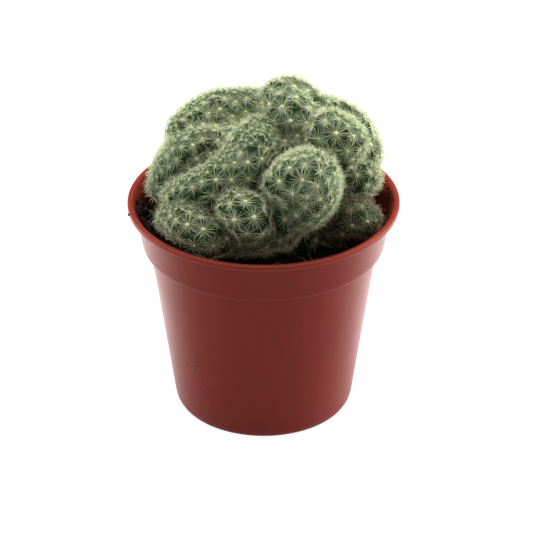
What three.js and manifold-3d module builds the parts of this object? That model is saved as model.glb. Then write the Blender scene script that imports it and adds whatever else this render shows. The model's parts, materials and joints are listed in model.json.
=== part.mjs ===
// Brain cactus in a small plastic nursery pot, in millimetres, +Z up.
// The origin is on the surface the pot stands on, at the middle of its foot.

import * as THREE from 'three';
import { mergeVertices } from 'three/addons/utils/BufferGeometryUtils.js';
import Module from 'manifold-3d';

const wasm = await Module();
wasm.setup();

// Driving dimensions of the pot
const potHeight = 71.5;
const lipRadius = 42.5;
const lipDepth = 1.8;
const lipMouthRadius = 40.8;
const wall = 1.0;
const collarDepth = 14.5;
const collarTopRadius = 40.2;
const collarFootRadius = 38.0;
const bodyTopRadius = 35.8;
const bodyFootRadius = 28.0;
const footCurve = 3.0;
const footInnerRadius = 22.6;
const floorRecess = 1.6;
const floorThickness = 1.0;
const drainRadius = 3.2;
const drainCircle = 14.5;
const drainCount = 5;
const drainSegments = 16;
const potSegments = 64;

// Driving dimensions of the soil; its top waves so many radians per millimetre along x and y
const soilTop = 61.5;
const soilGap = 0.3;
const soilSegments = 60;
const soilRings = 9;
const crumbHeight = 0.7;
const crumbWaves = { first: [1.9, 0.6], second: [-0.8, 1.7], fine: [4.3, -3.1] };

// Driving dimensions of the plant; each tubercle, areole and spine stands clear of what is near it
const heart = new THREE.Vector3(0, 0, 68);
const tubercleSpacing = 6.3;
const tubercleHeight = 1.3;
const areoleRadius = 0.42;
const areoleHeight = 0.35;
const areoleClearance = 1.0;
const spinesPerAreole = 4;
const spineLength = 3.4;
const spineLengthSpread = 0.2;
const spineLifts = [24, 42, 60, 74];
const spineLiftSpread = 8;
const spineGap = 0.4;
const spineTipClearance = 0.9;
const spineMiddleClearance = 0.6;
const soilClearance = 1.2;
const potClearance = 2;
const keel = 2.3;
const stemRadius = 20.5;
const stemFootRadius = 12;
const stemFoot = 47;
const stemCollar = 3;
const stemShoulder = 6;
const stemTop = 10;
const stemSegments = 28;
const groundSegments = 24;
const smallestDetail = 0.02;
const foldFoot = soilTop + 1.5 * crumbHeight + soilGap;

// Centre line of each fold of the plant as x, y, z and the fold's radius there
const folds = {
  leftBack: [[-24, 4, 93, 5.6], [-17, 11, 95.5, 6], [-10, 13, 96, 6], [-3.5, 13, 96.5, 5.8]],
  left: [[-31, -3, 78, 4.5], [-28.5, -3, 83.5, 5.2], [-24, -3, 89, 5.8], [-16.5, -3.5, 92, 5.4]],
  middleLow: [[-26.5, -12.5, 79, 4.3], [-19, -14.5, 83.5, 5], [-10.5, -13, 87.5, 6.2], [-5.5, -10, 91, 6.8]],
  middleHigh: [[-7, -11, 90, 6.6], [-3, -6.5, 94, 6.6], [-1.5, -3, 95.5, 5.2]],
  top: [[4.5, 9, 101.8, 5.4], [9, 11, 101.3, 5.8], [15.5, 8, 98.8, 4.8]],
  topFront: [[7.5, 4, 99.5, 6.8], [11, 2, 97.8, 6.3]],
  rightBack: [[20, 9, 96, 5.4], [26.5, 8, 92, 6.2], [30.5, 3, 86, 6]],
  rightInner: [[20.4, -4.6, 97.4, 6.2], [25.2, -6.8, 95, 6]],
  frontRight: [[8.3, -19, 79.5, 7.6], [11.2, -19.6, 84.5, 9.6], [12.8, -19.8, 88.6, 9]],
  frontRightFoot: [[7.5, -17, 77.5, 5.3], [14.5, -15.5, 77, 4.8]],
  right: [[30.5, -5, 82, 4.8], [31.5, -3, 80.5, 4.4]],
  rightFoot: [[20, -8, 72.5, 6], [28.5, -11.4, 72, 5.2], [31, -12.2, 70.8, 4.6]],
  frontLeft: [[-27, -18, 74, 5.1], [-22.5, -22, 73.5, 6.1], [-17, -25, 71.5, 5.3]],
  frontMiddle: [[-7.5, -24, 80.3, 5.9], [-4.8, -24.6, 78, 5.9]],
  frontFoot: [[-12.5, -24, 70, 3.4], [-3.5, -23.5, 70, 4], [6, -21, 70.5, 4]],
  backLeftLow: [[-29, 8, 74, 5.3], [-27, 16, 77, 5.8], [-20, 24, 80, 5.8]],
  back: [[-9, 26, 84, 5.8], [4, 28, 85, 6.3]],
  backRight: [[17, 24, 84, 5.8], [26, 16, 80, 5.8], [31, 6, 76, 5]],
  backMiddle: [[-14, 15, 88, 5.8], [0, 18, 92, 5.8], [12, 18, 93, 5.8]],
  backFoot: [[-18, 23, 70, 5], [0, 29.5, 73, 5.5], [19, 23, 71, 5]],
  core: [[-7, 3, 80, 16], [8, 3, 81, 16]],
};

// Seeded random numbers from 0 to 1
function randomFrom(seed) {
  let state = seed >>> 0;
  return () => {
    state = (state + 0x6d2b79f5) >>> 0;
    let t = Math.imul(state ^ (state >>> 15), 1 | state);
    t = (t + Math.imul(t ^ (t >>> 7), 61 | t)) ^ t;
    return ((t ^ (t >>> 14)) >>> 0) / 4294967296;
  };
}

// A solid from points and triangles, turned so that its faces point out
function solidFrom(positions, triangles) {
  const corner = (k) => new THREE.Vector3().fromArray(positions, 3 * k);
  let volume = 0;
  for (let k = 0; k < triangles.length; k += 3) {
    const [a, b, c] = [corner(triangles[k]), corner(triangles[k + 1]), corner(triangles[k + 2])];
    volume += a.dot(b.cross(c));
  }
  const turned = volume < 0 ? triangles.slice().reverse() : triangles;
  const mesh = new wasm.Mesh({
    numProp: 3,
    vertProperties: new Float32Array(positions),
    triVerts: new Uint32Array(turned),
  });
  return new wasm.Manifold(mesh);
}

// A solid from a three.js geometry, with its shared vertices merged
function solidOf(geometry) {
  const bare = geometry.clone();
  bare.deleteAttribute('uv');
  bare.deleteAttribute('normal');
  const merged = mergeVertices(bare, 1e-4);
  const index = Array.from(merged.index.array);
  const triangles = [];
  for (let k = 0; k < index.length; k += 3) {
    const [a, b, c] = index.slice(k, k + 3);
    if (a !== b && b !== c && c !== a) triangles.push(a, b, c);
  }
  return solidFrom(Array.from(merged.attributes.position.array), triangles);
}

// A named mesh from a solid: its biggest body, with sealed hollows filled
function meshOf(name, solid, look) {
  const bodies = solid.decompose().sort((a, b) => b.volume() - a.volume());
  const { vertProperties, triVerts } = bodies[0].getMesh();
  const geometry = new THREE.BufferGeometry();
  geometry.setAttribute('position', new THREE.BufferAttribute(vertProperties, 3));
  geometry.setIndex(new THREE.BufferAttribute(triVerts, 1));
  geometry.computeVertexNormals();
  const mesh = new THREE.Mesh(geometry, new THREE.MeshStandardMaterial(look));
  mesh.name = name;
  return mesh;
}

// A solid of revolution about Z from a profile of [radius, height] points
function turned(profile, segments) {
  const points = profile.map(([radius, height]) => new THREE.Vector2(radius, height));
  return new THREE.LatheGeometry(points, segments).rotateX(Math.PI / 2);
}

// Points of an arc in a profile, from one angle to another, in degrees
function arc(radius, height, size, from, to, steps) {
  return Array.from({ length: steps + 1 }, (_, k) => {
    const angle = THREE.MathUtils.degToRad(from + ((to - from) * k) / steps);
    return [radius + size * Math.cos(angle), height + size * Math.sin(angle)];
  });
}

// The pot: thin moulded plastic with a lip, a collar, a tapered body and a raised foot ring
const collarFoot = potHeight - collarDepth;
const floorTop = floorRecess + floorThickness;
const innerFootRadius = bodyFootRadius - wall;

function makePot() {
  const lipRound = 0.35;
  const stepHeight = 0.6;
  const outside = [
    [0, floorRecess],
    [footInnerRadius - floorRecess, floorRecess],
    [footInnerRadius, 0],
    ...arc(bodyFootRadius - footCurve, footCurve, footCurve, -90, -8, 4),
    [bodyTopRadius, collarFoot - stepHeight],
    [collarFootRadius - stepHeight / 2, collarFoot - stepHeight / 2],
    [collarFootRadius, collarFoot],
    [collarTopRadius, potHeight - lipDepth - lipRound],
    [collarTopRadius + lipRound, potHeight - lipDepth],
    [lipRadius - lipRound, potHeight - lipDepth],
    [lipRadius, potHeight - lipDepth + lipRound],
    [lipRadius, potHeight - lipRound],
    [lipRadius - lipRound, potHeight],
  ];
  const inside = [
    [lipMouthRadius + lipRound, potHeight],
    [lipMouthRadius, potHeight - lipRound],
    [collarTopRadius - wall, potHeight - lipDepth - wall],
    [collarFootRadius - wall, collarFoot + stepHeight],
    [bodyTopRadius - wall, collarFoot - stepHeight],
    [innerFootRadius, floorTop + footCurve],
    [innerFootRadius - footCurve / 3, floorTop + footCurve / 3],
    [innerFootRadius - footCurve, floorTop],
    [0, floorTop],
  ];
  let pot = solidOf(turned([...outside, ...inside], potSegments));
  for (let k = 0; k < drainCount; k += 1) {
    const angle = (2 * Math.PI * k) / drainCount;
    const drill = new THREE.CylinderGeometry(drainRadius, drainRadius, 4 * floorTop, drainSegments);
    drill.rotateX(Math.PI / 2);
    drill.translate(drainCircle * Math.cos(angle), drainCircle * Math.sin(angle), floorTop);
    pot = pot.subtract(solidOf(drill));
  }
  return pot;
}

// The soil fills the pot to below its rim, has a crumbly top and a plain hole for the stem
function makeSoil() {
  const holeRadius = stemRadius + soilGap;
  const holeFootRadius = stemFootRadius + soilGap;
  const wallRadiusAt = (height) => {
    const share = (height - floorTop - footCurve) / (collarFoot - floorTop - footCurve);
    return THREE.MathUtils.lerp(innerFootRadius, bodyTopRadius - wall, share);
  };
  const rimShare = (soilTop - collarFoot) / (potHeight - lipDepth - collarFoot);
  const topRadius = THREE.MathUtils.lerp(collarFootRadius, collarTopRadius, rimShare) - wall - 2 * soilGap;
  const top = Array.from({ length: soilRings + 1 }, (_, k) => (
    [THREE.MathUtils.lerp(holeRadius, topRadius, k / soilRings), soilTop]
  ));
  const profile = [
    [0, stemFoot - soilGap],
    [holeFootRadius, stemFoot - soilGap],
    [holeRadius, soilTop - stemCollar - soilGap],
    ...top,
    [collarFootRadius - wall - 2 * soilGap, collarFoot + 5 * soilGap],
    [bodyTopRadius - wall - 2 * soilGap, collarFoot + soilGap],
    [wallRadiusAt(floorTop + footCurve) - 2 * soilGap, floorTop + footCurve],
    [innerFootRadius - footCurve, floorTop + soilGap],
    [0, floorTop + soilGap],
  ];
  const geometry = turned(profile, soilSegments);
  const at = geometry.attributes.position;
  for (let k = 0; k < at.count; k += 1) {
    const [x, y, z] = [at.getX(k), at.getY(k), at.getZ(k)];
    const phase = ([alongX, alongY]) => alongX * x + alongY * y;
    const { first, second, fine } = crumbWaves;
    const crumb = Math.sin(phase(first)) * Math.cos(phase(second)) + Math.sin(phase(fine)) / 2;
    const onTop = Math.abs(z - soilTop) < 0.01;
    if (onTop) at.setZ(k, z + crumbHeight * crumb);
  }
  return solidOf(geometry);
}

// A smooth line through a fold's points, with its radius and the way its crest faces
function spineOf(points) {
  const curve = new THREE.CatmullRomCurve3(points.map(([x, y, z]) => new THREE.Vector3(x, y, z)));
  const radii = points.map((point) => point[3]);
  const length = curve.getLength();
  const frameAt = (share) => {
    const centre = curve.getPointAt(share);
    const along = curve.getTangentAt(share);
    const crest = centre.clone().sub(heart);
    crest.addScaledVector(along, -crest.dot(along)).normalize();
    const side = new THREE.Vector3().crossVectors(along, crest);
    const place = curve.getUtoTmapping(share) * (radii.length - 1);
    const low = Math.min(Math.floor(place), radii.length - 2);
    const radius = THREE.MathUtils.lerp(radii[low], radii[low + 1], place - low);
    return { centre, along, crest, side, radius };
  };
  const steps = 4 * (points.length - 1);
  const samples = Array.from({ length: steps + 1 }, (_, k) => frameAt(k / steps));
  return { frameAt, length, samples };
}

// A point of a fold's section: round on the crest side, drawn out into a keel towards the heart
function sectionPoint(frame, angle, tilt) {
  const ring = Math.cos(tilt);
  const normal = frame.crest.clone().multiplyScalar(ring * Math.cos(angle));
  normal.addScaledVector(frame.side, ring * Math.sin(angle));
  normal.addScaledVector(frame.along, Math.sin(tilt));
  const place = frame.centre.clone().addScaledVector(normal, frame.radius);
  const inward = Math.min(0, Math.cos(angle)) * ring * frame.radius * (keel - 1);
  place.addScaledVector(frame.crest, inward);
  return { place, normal };
}

// Clear distance from a point to a fold's body, less than zero inside it
function distanceTo(line, point) {
  let best = Infinity;
  for (let k = 0; k + 1 < line.samples.length; k += 1) {
    const from = line.samples[k];
    const to = line.samples[k + 1];
    const step = to.centre.clone().sub(from.centre);
    const offset = point.clone().sub(from.centre);
    const share = THREE.MathUtils.clamp(offset.dot(step) / step.lengthSq(), 0, 1);
    offset.addScaledVector(step, -share);
    const depth = offset.dot(from.crest);
    if (depth < 0) offset.addScaledVector(from.crest, depth / keel - depth);
    best = Math.min(best, offset.length() - THREE.MathUtils.lerp(from.radius, to.radius, share));
  }
  return best;
}

const lines = Object.values(folds).map(spineOf);

// Clear distance from a point to the other folds, the soil and the pot's wall
function clearance(point, own) {
  let best = point.z - soilTop - soilClearance;
  const reach = Math.hypot(point.x, point.y);
  if (point.z < potHeight + potClearance) best = Math.min(best, lipMouthRadius - potClearance - reach);
  for (const line of lines) {
    if (line !== own) best = Math.min(best, distanceTo(line, point));
  }
  return best;
}

// Triangles between two rings of points, both in the same turning order
function stitch(ringA, anglesA, ringB, anglesB) {
  const turn = 2 * Math.PI;
  const unroll = (angle, start) => (((angle - start) % turn) + turn) % turn;
  const start = anglesA[0];
  const order = anglesB.map((angle, k) => [unroll(angle, start), ringB[k]]).sort((a, b) => a[0] - b[0]);
  const a = anglesA.map((angle, k) => [unroll(angle, start), ringA[k]]);
  a.push([turn, ringA[0]]);
  const b = [...order, [order[0][0] + turn, order[0][1]]];
  const triangles = [];
  let i = 0;
  let j = 0;
  while (i < a.length - 1 || j < b.length - 1) {
    const nextA = i < a.length - 1 ? a[i + 1][0] : Infinity;
    const nextB = j < b.length - 1 ? b[j + 1][0] : Infinity;
    if (ringA.length > 1 && (nextA <= nextB || ringB.length === 1)) {
      triangles.push([a[i][1], a[i + 1][1], b[j][1]]);
      i += 1;
    } else {
      triangles.push([a[i][1], b[j + 1][1], b[j][1]]);
      j += 1;
    }
    if (ringA.length === 1 && j === b.length - 1) break;
    if (ringB.length === 1 && i === a.length - 1) break;
  }
  return triangles;
}

// Rings of tubercle places over a fold, from one rounded end to the other
function latticeOf(line) {
  const rowStep = (tubercleSpacing * Math.sqrt(3)) / 2;
  const fewestAround = 5;
  const places = [];
  const rings = [];
  const addRing = (frame, tilt, turnOffset) => {
    const ringRadius = frame.radius * Math.cos(tilt);
    const wanted = Math.round((2 * Math.PI * ringRadius) / tubercleSpacing);
    const isPole = ringRadius < 0.1;
    const count = isPole ? 1 : Math.max(fewestAround, wanted);
    const ring = [];
    const angles = [];
    for (let k = 0; k < count; k += 1) {
      const angle = (2 * Math.PI * (k + turnOffset)) / count;
      ring.push(places.length);
      angles.push(angle);
      places.push(sectionPoint(frame, angle, tilt));
    }
    rings.push({ ring, angles });
  };
  const startFrame = line.frameAt(0);
  const endFrame = line.frameAt(1);
  const startCaps = Math.max(2, Math.round((startFrame.radius * Math.PI) / 2 / rowStep));
  const endCaps = Math.max(2, Math.round((endFrame.radius * Math.PI) / 2 / rowStep));
  const rows = Math.max(1, Math.round(line.length / rowStep));
  let stagger = 0;
  for (let k = 0; k < startCaps; k += 1) {
    addRing(startFrame, -Math.PI / 2 + (Math.PI / 2) * (k / startCaps), stagger);
    stagger = 0.5 - stagger;
  }
  for (let k = 0; k <= rows; k += 1) {
    addRing(line.frameAt(k / rows), 0, stagger);
    stagger = 0.5 - stagger;
  }
  for (let k = 1; k <= endCaps; k += 1) {
    addRing(endFrame, (Math.PI / 2) * (k / endCaps), stagger);
    stagger = 0.5 - stagger;
  }
  const faces = [];
  for (let k = 0; k + 1 < rings.length; k += 1) {
    const lower = rings[k];
    const upper = rings[k + 1];
    faces.push(...stitch(lower.ring, lower.angles, upper.ring, upper.angles));
  }
  return { places, faces };
}

// Shortest distance between two straight needles
function needleDistance(first, second) {
  const steps = 4;
  let best = Infinity;
  for (let i = 0; i <= steps; i += 1) {
    const spot = first.from.clone().lerp(first.to, i / steps);
    const along = second.to.clone().sub(second.from);
    const share = THREE.MathUtils.clamp(spot.clone().sub(second.from).dot(along) / along.lengthSq(), 0, 1);
    best = Math.min(best, spot.distanceTo(second.from.clone().addScaledVector(along, share)));
  }
  return best;
}

const needles = [];

// A spine's tip where it clears its neighbours, or nothing where no tilt of it does
function spineTip(from, outward, normal, own, random) {
  const length = spineLength * (1 + spineLengthSpread * (random() - 0.5));
  const jitter = spineLiftSpread * (random() - 0.5);
  const nearby = 2.2 * spineLength;
  for (const lift of spineLifts) {
    const angle = THREE.MathUtils.degToRad(lift + jitter);
    const way = outward.clone().multiplyScalar(Math.cos(angle)).addScaledVector(normal, Math.sin(angle));
    const tip = from.clone().addScaledVector(way, length);
    const middle = from.clone().addScaledVector(way, length / 2);
    const needle = { from, to: tip, areole: own.areole };
    const near = needles.filter((other) => other.areole !== own.areole && other.to.distanceTo(tip) < nearby);
    const crossed = near.some((other) => needleDistance(needle, other) < spineGap);
    const tipClears = clearance(tip, own.line) > spineTipClearance;
    const middleClears = clearance(middle, own.line) > spineMiddleClearance;
    if (!crossed && tipClears && middleClears) {
      needles.push(needle);
      return tip;
    }
  }
  return null;
}

// One fold: a bent fat sausage with a keel, its skin raised into tubercles tipped with spines
function makeFold(line, random) {
  const { places, faces } = latticeOf(line);
  const positions = [];
  const triangles = [];
  const addPoint = (point) => {
    positions.push(point.x, point.y, point.z);
    return positions.length / 3 - 1;
  };
  const sagShare = 1 / 18;
  const valleys = faces.map((face) => {
    const corners = face.map((k) => places[k]);
    const middle = new THREE.Vector3();
    const normal = new THREE.Vector3();
    let bulge = 0;
    corners.forEach((corner, k) => {
      const next = corners[(k + 1) % 3];
      middle.addScaledVector(corner.place, 1 / 3);
      normal.add(corner.normal);
      bulge += sagShare * corner.place.distanceTo(next.place) * corner.normal.angleTo(next.normal);
    });
    return addPoint(middle.addScaledVector(normal.normalize(), bulge));
  });
  const faceAfter = new Map();
  faces.forEach(([i, j, k], face) => {
    faceAfter.set(`${i}>${j}`, { face, third: k });
    faceAfter.set(`${j}>${k}`, { face, third: i });
    faceAfter.set(`${k}>${i}`, { face, third: j });
  });
  const firstEdge = new Map();
  faces.forEach(([i, j, k]) => {
    firstEdge.set(i, j);
    firstEdge.set(j, k);
    firstEdge.set(k, i);
  });
  places.forEach(({ place, normal }, k) => {
    const ring = [];
    let neighbour = firstEdge.get(k);
    do {
      const { face, third } = faceAfter.get(`${k}>${neighbour}`);
      ring.push(valleys[face]);
      neighbour = third;
    } while (neighbour !== firstEdge.get(k));
    const peak = place.clone().addScaledVector(normal, tubercleHeight);
    if (clearance(peak, line) < areoleClearance) {
      const plain = addPoint(place);
      ring.forEach((valley, m) => triangles.push(plain, valley, ring[(m + 1) % ring.length]));
      return;
    }
    const east = new THREE.Vector3(0.31, 0.52, 0.8).cross(normal).normalize();
    const north = normal.clone().cross(east);
    const angleOf = (point) => {
      const offset = point.clone().sub(place);
      return Math.atan2(offset.dot(north), offset.dot(east));
    };
    const ringAngles = ring.map((valley) => angleOf(new THREE.Vector3().fromArray(positions, 3 * valley)));
    const turnOffset = random() * 2 * Math.PI;
    const rim = [];
    const rimAngles = [];
    for (let m = 0; m < spinesPerAreole; m += 1) {
      const angle = turnOffset + (2 * Math.PI * m) / spinesPerAreole;
      const outward = east.clone().multiplyScalar(Math.cos(angle)).addScaledVector(north, Math.sin(angle));
      rim.push(addPoint(peak.clone().addScaledVector(outward, areoleRadius)));
      rimAngles.push(angle);
    }
    triangles.push(...stitch(ring, ringAngles, rim, rimAngles).flat());
    const top = addPoint(peak.clone().addScaledVector(normal, areoleHeight));
    rim.forEach((point, m) => {
      const next = rim[(m + 1) % rim.length];
      const angle = rimAngles[m] + Math.PI / spinesPerAreole;
      const outward = east.clone().multiplyScalar(Math.cos(angle)).addScaledVector(north, Math.sin(angle));
      const root = peak.clone().addScaledVector(outward, areoleRadius / 2);
      root.addScaledVector(normal, areoleHeight / 2);
      const tip = spineTip(root, outward, normal, { line, areole: place }, random);
      if (tip === null) {
        triangles.push(top, point, next);
        return;
      }
      const end = addPoint(tip);
      triangles.push(top, point, end, point, next, end, next, top, end);
    });
  });
  return solidFrom(positions, triangles);
}

// The plant: all folds grown together on one stem that stands in the soil
function makeCactus() {
  const random = randomFrom(7);
  const stem = solidOf(turned([
    [0, stemFoot],
    [stemFootRadius, stemFoot],
    [stemRadius, soilTop - stemCollar],
    [stemRadius, soilTop + stemShoulder],
    [stemRadius / 2, soilTop + stemTop],
    [0, soilTop + stemTop],
  ], stemSegments));
  const below = new THREE.CylinderGeometry(lipRadius, lipRadius, foldFoot, groundSegments);
  below.rotateX(Math.PI / 2);
  below.translate(0, 0, foldFoot / 2);
  const ground = solidOf(below);
  let plant = stem;
  for (const line of lines) {
    plant = plant.add(makeFold(line, random).subtract(ground));
  }
  return plant.simplify(smallestDetail);
}

const object = new THREE.Group();
object.add(meshOf('pot', makePot(), { color: 0x8a3a2e, roughness: 0.42, metalness: 0 }));
object.add(meshOf('soil', makeSoil(), { color: 0x1b1410, roughness: 0.95, metalness: 0 }));
object.add(meshOf('cactus', makeCactus(), { color: 0x7f9a78, roughness: 0.8, metalness: 0 }));

export default object;
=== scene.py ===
import json
import math

import bmesh
import bpy
import numpy as np
from mathutils import Matrix, Vector
from mathutils.kdtree import KDTree

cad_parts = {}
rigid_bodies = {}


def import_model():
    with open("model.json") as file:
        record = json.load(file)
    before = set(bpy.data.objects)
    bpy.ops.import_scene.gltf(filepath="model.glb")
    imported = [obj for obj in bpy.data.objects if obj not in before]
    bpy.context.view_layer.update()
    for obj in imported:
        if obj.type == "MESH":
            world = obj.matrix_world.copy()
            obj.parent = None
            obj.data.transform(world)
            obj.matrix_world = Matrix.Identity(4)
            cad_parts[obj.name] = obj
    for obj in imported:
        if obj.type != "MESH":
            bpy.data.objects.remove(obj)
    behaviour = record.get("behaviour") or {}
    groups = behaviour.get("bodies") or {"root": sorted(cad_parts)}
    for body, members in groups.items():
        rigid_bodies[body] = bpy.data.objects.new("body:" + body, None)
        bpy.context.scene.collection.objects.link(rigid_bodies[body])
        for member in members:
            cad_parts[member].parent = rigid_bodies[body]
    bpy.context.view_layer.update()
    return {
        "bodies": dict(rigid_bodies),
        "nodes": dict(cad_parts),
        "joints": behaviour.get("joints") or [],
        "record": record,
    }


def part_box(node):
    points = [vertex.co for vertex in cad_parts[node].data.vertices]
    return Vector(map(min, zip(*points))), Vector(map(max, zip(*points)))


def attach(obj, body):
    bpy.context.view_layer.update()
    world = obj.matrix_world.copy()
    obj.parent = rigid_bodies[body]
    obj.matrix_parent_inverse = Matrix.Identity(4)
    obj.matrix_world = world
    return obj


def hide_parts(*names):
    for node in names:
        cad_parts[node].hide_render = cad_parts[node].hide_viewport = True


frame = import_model()

# The room: a white table in a tent of soft white light, with the window light
# coming from above and a little behind the plant on the left. The camera looks
# down at the pot from the front through a long lens.
mm = 0.001
camera_rise = math.radians(30.4)
camera_distance = 894 * mm
camera_lens = 191.0
camera_target = Vector((0.9, 0.0, 46.8)) * mm

camera = bpy.data.objects.new("camera", bpy.data.cameras.new("camera"))
bpy.context.scene.collection.objects.link(camera)
camera.data.sensor_width = 36.0
camera.data.lens = camera_lens
camera.data.clip_start = 0.05
camera.data.clip_end = 20.0
camera.location = camera_target + camera_distance * Vector((0, -math.cos(camera_rise), math.sin(camera_rise)))
camera.rotation_euler = (math.pi / 2 - camera_rise, 0, 0)
bpy.context.scene.camera = camera
bpy.context.scene.view_settings.view_transform = "Standard"


def add_node(tree, kind, inputs=None, **settings):
    """A node with its settings; inputs are values, or sockets to link from."""
    node = tree.nodes.new(kind)
    for name, value in settings.items():
        setattr(node, name, value)
    for name, value in (inputs or {}).items():
        if isinstance(value, bpy.types.NodeSocket):
            tree.links.new(value, node.inputs[name])
        else:
            node.inputs[name].default_value = value
    return node


def new_material(name, roughness):
    """A material, its node tree, its Principled shader and the place on the object it paints."""
    material = bpy.data.materials.new(name)
    material.use_nodes = True
    tree = material.node_tree
    shader = tree.nodes["Principled BSDF"]
    shader.inputs["Roughness"].default_value = roughness
    return material, tree, shader, add_node(tree, "ShaderNodeTexCoord").outputs["Object"]


def new_object(name, mesh, smooth_angle=None):
    """An object for a mesh, with its place in the mesh."""
    thing = bpy.data.objects.new(name, mesh)
    bpy.context.scene.collection.objects.link(thing)
    if smooth_angle is not None:
        mesh.shade_smooth()
        mesh.set_sharp_from_angle(angle=math.radians(smooth_angle))
    return thing


def soft_light(name, place, size, power, colour):
    """A square soft light that faces the middle of the plant."""
    lamp = bpy.data.lights.new(name, "AREA")
    lamp.shape = "SQUARE"
    lamp.size = size
    lamp.energy = power
    lamp.color = colour
    holder = bpy.data.objects.new(name, lamp)
    bpy.context.scene.collection.objects.link(holder)
    holder.location = place
    holder.rotation_euler = (camera_target - Vector(place)).to_track_quat("-Z", "Y").to_euler()


soft_light("window", (0.10, 0.26, 0.84), 0.6, 9.0, (1.0, 0.99, 0.95))
soft_light("tent_right", (0.75, 0.22, 0.22), 0.6, 8.0, (1.0, 0.98, 0.94))
soft_light("tent_left", (-0.75, 0.22, 0.25), 0.6, 4.1, (0.97, 0.98, 1.0))

# The room fills the shadows with dim light, more of it from the ceiling than from the walls
world = bpy.data.worlds.new("room")
world.use_nodes = True
tree = world.node_tree
look_way = add_node(tree, "ShaderNodeTexCoord").outputs["Generated"]
split = add_node(tree, "ShaderNodeSeparateXYZ", {"Vector": look_way})
walls_dim = 0.12
ceiling_dim = 0.38
room_white = add_node(tree, "ShaderNodeMapRange",
                      {"Value": split.outputs["Z"], "To Min": walls_dim, "To Max": ceiling_dim})
tree.nodes["Background"].inputs["Color"].default_value = (1, 1, 1, 1)
tree.links.new(room_white.outputs["Result"], tree.nodes["Background"].inputs["Strength"])
bpy.context.scene.world = world

table_reach = 1.5
table_corners = [(x * table_reach, y * table_reach, 0) for x, y in ((-1, -1), (1, -1), (1, 1), (-1, 1))]
table_mesh = bpy.data.meshes.new("table")
table_mesh.from_pydata(table_corners, [], [(0, 1, 2, 3)])
table = new_object("table", table_mesh)
table_paint, tree, shader, place = new_material("table white", 0.6)
shader.inputs["Base Color"].default_value = (0.22, 0.22, 0.22, 1)
shader.inputs["Emission Color"].default_value = (0.96, 0.98, 1.0, 1)
# The photo's background is pure white, so the camera sees the table glow evenly, but
# what falls on the pot from the table comes mostly from beside and behind it
seen_glow = 0.95
front_glow = 0.5
back_glow = 2.9
split = add_node(tree, "ShaderNodeSeparateXYZ", {"Vector": place})
shed = add_node(tree, "ShaderNodeMapRange",
                {"Value": split.outputs["Y"], "From Min": -30 * mm, "From Max": 50 * mm,
                 "To Min": front_glow, "To Max": back_glow}, interpolation_type="SMOOTHSTEP")
seen = add_node(tree, "ShaderNodeLightPath").outputs["Is Camera Ray"]
glow = add_node(tree, "ShaderNodeMix", {"Factor": seen, "A": shed.outputs["Result"], "B": seen_glow})
tree.links.new(glow.outputs["Result"], shader.inputs["Emission Strength"])
table_mesh.materials.append(table_paint)

# The pot: a small nursery pot, thin terracotta-red polypropylene moulded in one
# piece, with a lip and a collar to lift it by, a tapered body, a raised foot
# ring and drain holes. It is satin, with fine flow marks, dust and soil specks;
# shade inside it and on the front of its lip, and a glow on the lip, are painted.
pot_segments = 192
# Radius, height and rounding of the corners of the pot's section, in millimetres
body_foot = (28.0, 0.0, 3.4)
body_top = (35.8, 56.3, 0.3)
lip_inside = (40.8, 71.5, 0.6)
lip_under = (39.2, 68.8, 0.8)
collar_inside = (37.0, 57.7, 0.5)
pot_corners = [
    (0.0, 1.6, 0), (21.0, 1.6, 0.5), (22.6, 0.0, 0.4), body_foot, body_top, (37.7, 56.4, 0.5),
    (38.1, 57.6, 0.3), (40.2, 69.6, 0.4), (42.5, 69.6, 0.7), (42.5, 71.5, 0.7), lip_inside, lip_under,
    collar_inside, (34.8, 56.4, 0.4), (27.0, 5.6, 1.2), (24.4, 2.6, 1.2), (0.0, 2.6, 0),
]


def rounded_section(corners, steps=5):
    """A section's outline with each corner rounded by an arc of its own size."""
    outline = []
    for k, (radius, height, rounding) in enumerate(corners):
        corner = np.array([radius, height])
        if rounding == 0:
            outline.append(corner)
            continue
        before = np.array(corners[k - 1][:2]) - corner
        after = np.array(corners[(k + 1) % len(corners)][:2]) - corner
        reach_before = min(rounding, np.linalg.norm(before) * 0.48)
        reach_after = min(rounding, np.linalg.norm(after) * 0.48)
        start = corner + before / np.linalg.norm(before) * reach_before
        end = corner + after / np.linalg.norm(after) * reach_after
        for share in np.linspace(0, 1, steps):
            outline.append((1 - share) ** 2 * start + 2 * share * (1 - share) * corner + share ** 2 * end)
    return [(float(r) * mm, float(z) * mm) for r, z in outline]


def wall_radius(height, low, high):
    """The wall's radius at a height, on the straight line through two corners of the pot's section."""
    return low[0] + (high[0] - low[0]) * (height - low[1]) / (high[1] - low[1])


def turned_mesh(name, outline, segments):
    """A closed mesh turned about Z from an outline that starts and ends on the axis."""
    points = []
    rings = []
    for radius, height in outline:
        if radius < 1e-7:
            rings.append([len(points)] * segments)
            points.append((0, 0, height))
            continue
        rings.append(list(range(len(points), len(points) + segments)))
        for k in range(segments):
            angle = 2 * math.pi * k / segments
            points.append((radius * math.cos(angle), radius * math.sin(angle), height))
    faces = []
    for lower, upper in zip(rings, rings[1:]):
        for k in range(segments):
            corners = [lower[k], lower[(k + 1) % segments], upper[(k + 1) % segments], upper[k]]
            kept = [c for n, c in enumerate(corners) if c not in corners[:n]]
            if len(kept) > 2:
                faces.append(kept)
    mesh = bpy.data.meshes.new(name)
    mesh.from_pydata(points, [], faces)
    turn_outward(mesh)
    return mesh


def turn_outward(mesh):
    """Merges doubles and turns all faces outwards."""
    work = bmesh.new()
    work.from_mesh(mesh)
    bmesh.ops.remove_doubles(work, verts=work.verts, dist=1e-7)
    bmesh.ops.recalc_face_normals(work, faces=work.faces)
    work.to_mesh(mesh)
    work.free()


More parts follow.
